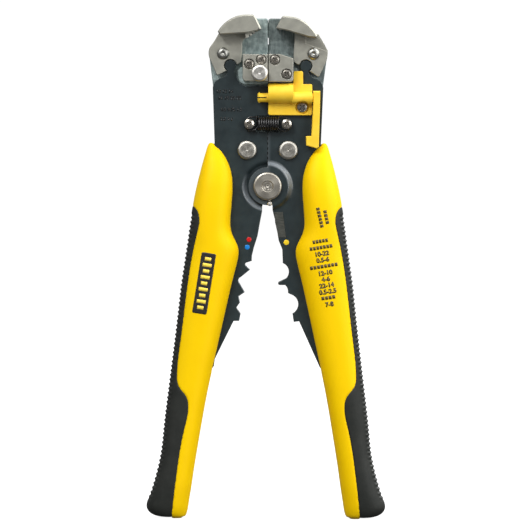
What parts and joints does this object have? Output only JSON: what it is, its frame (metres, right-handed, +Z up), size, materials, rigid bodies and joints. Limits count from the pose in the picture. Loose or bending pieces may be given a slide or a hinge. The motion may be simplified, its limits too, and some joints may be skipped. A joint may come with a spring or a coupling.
{
  "type": "wire stripper",
  "caption": "Self-adjusting wire stripper: lapped handle plates with two-tone grips, twin pivoting jaws with hook levers, flip-up wire stop, crimping nests and cutter between the handles",
  "frame": {"origin": "middle of the bottom of the whole tool, under the main pivot, between the butt ends of the handles", "axes": "+Z up along the tool's length with the head up, +X across the tool to the blade side, -Y the front face with the tension knob and wire stop"},
  "size_m": [0.1022, 0.02, 0.2158],
  "materials": {
    "black_plate": "satin blue-black phosphate",
    "yellow_grip": "glossy yellow moulded plastic",
    "black_rubber": "fine matt texture",
    "rivet_steel": "turned bright",
    "screw_steel": "nickel plated",
    "spring_steel": "black oiled",
    "lever_steel": "bead blasted nickel",
    "blade_steel": "ground",
    "die_cast": "as cast, blue-grey",
    "yellow_stop": "satin moulded plastic",
    "cutter_steel": "dark ground"
  },
  "bodies": {
    "right_arm": {"right_handle_plate": "black_plate", "right_grip_core": "yellow_grip", "right_grip_overmould": "black_rubber", "main_pivot_rivet": "rivet_steel", "pivot_washer": "rivet_steel", "handle_stop_pin": "rivet_steel", "right_cutter_insert": "cutter_steel", "right_jaw_rivet": "rivet_steel", "right_jaw_spring": "spring_steel", "right_spring_post": "screw_steel", "return_spring": "spring_steel"},
    "left_arm": {"left_handle_plate": "black_plate", "left_grip_core": "yellow_grip", "left_grip_overmould": "black_rubber", "left_cutter_insert": "cutter_steel", "left_jaw_rivet": "rivet_steel", "left_jaw_spring": "spring_steel", "left_spring_post": "screw_steel"},
    "left_jaw": {"left_jaw_body": "die_cast", "lower_grip_plate": "lever_steel", "grip_plate_screws": "screw_steel", "gripping_lever_pin": "rivet_steel", "knob_spring": "spring_steel", "knob_nut": "screw_steel"},
    "left_lever": {"gripping_lever": "lever_steel"},
    "right_jaw": {"right_jaw_body": "die_cast", "lower_blade_plate": "lever_steel", "blade_plate_screws": "screw_steel", "lower_blade": "blade_steel", "blade_lever_pin": "rivet_steel", "stop_bracket": "yellow_stop", "stop_bracket_screw": "screw_steel"},
    "right_lever": {"blade_lever": "lever_steel", "upper_blade": "blade_steel"},
    "knob": {"tension_knob": "rivet_steel"},
    "stop_slider": {"stop_shaft": "yellow_stop"},
    "stop_flag": {"stop_bar": "yellow_stop"}
  },
  "joints": [
    {"name": "handle_squeeze", "type": "hinge", "parent": "right_arm", "child": "left_arm", "pos_m": [0, 0.001, 0.1424], "axis": [0, -1, 0], "range_deg": [0, 22.5], "deforming": ["return_spring"]},
    {"name": "left_jaw_turn", "type": "hinge", "parent": "left_arm", "child": "left_jaw", "pos_m": [-0.0088, 0.006, 0.15785], "axis": [0, 1, 0], "range_deg": [0, 5.5]},
    {"name": "gripping_lever_close", "type": "hinge", "parent": "left_jaw", "child": "left_lever", "pos_m": [-0.01935, 0.001, 0.1991], "axis": [0, 1, 0], "range_deg": [0, 32.5]},
    {"name": "right_jaw_turn", "type": "hinge", "parent": "right_arm", "child": "right_jaw", "pos_m": [0.0088, 0.006, 0.15785], "axis": [0, -1, 0], "range_deg": [0, 5.5]},
    {"name": "blade_lever_close", "type": "hinge", "parent": "right_jaw", "child": "right_lever", "pos_m": [0.01935, 0.001, 0.1991], "axis": [0, -1, 0], "range_deg": [0, 32.5]},
    {"name": "tension_knob_turn", "type": "hinge", "parent": "left_jaw", "child": "knob", "pos_m": [-0.00364, -0.008, 0.19085], "axis": [0, 1, 0], "continuous": true},
    {"name": "stop_slide", "type": "slide", "parent": "right_jaw", "child": "stop_slider", "axis": [1, 0, 0], "range_m": [0, 0.0031]},
    {"name": "stop_flip", "type": "hinge", "parent": "stop_slider", "child": "stop_flag", "pos_m": [0.0208, -0.0037, 0.1803], "axis": [-1, 0, 0], "range_deg": [0, 180]}
  ],
  "couplings": [
    {"joint": "left_jaw_turn", "follows": "handle_squeeze", "ratio": 0.24444},
    {"joint": "right_jaw_turn", "follows": "handle_squeeze", "ratio": 0.24444},
    {"joint": "gripping_lever_close", "follows": "handle_squeeze", "ratio": 1.4444},
    {"joint": "blade_lever_close", "follows": "handle_squeeze", "ratio": 1.4444}
  ]
}
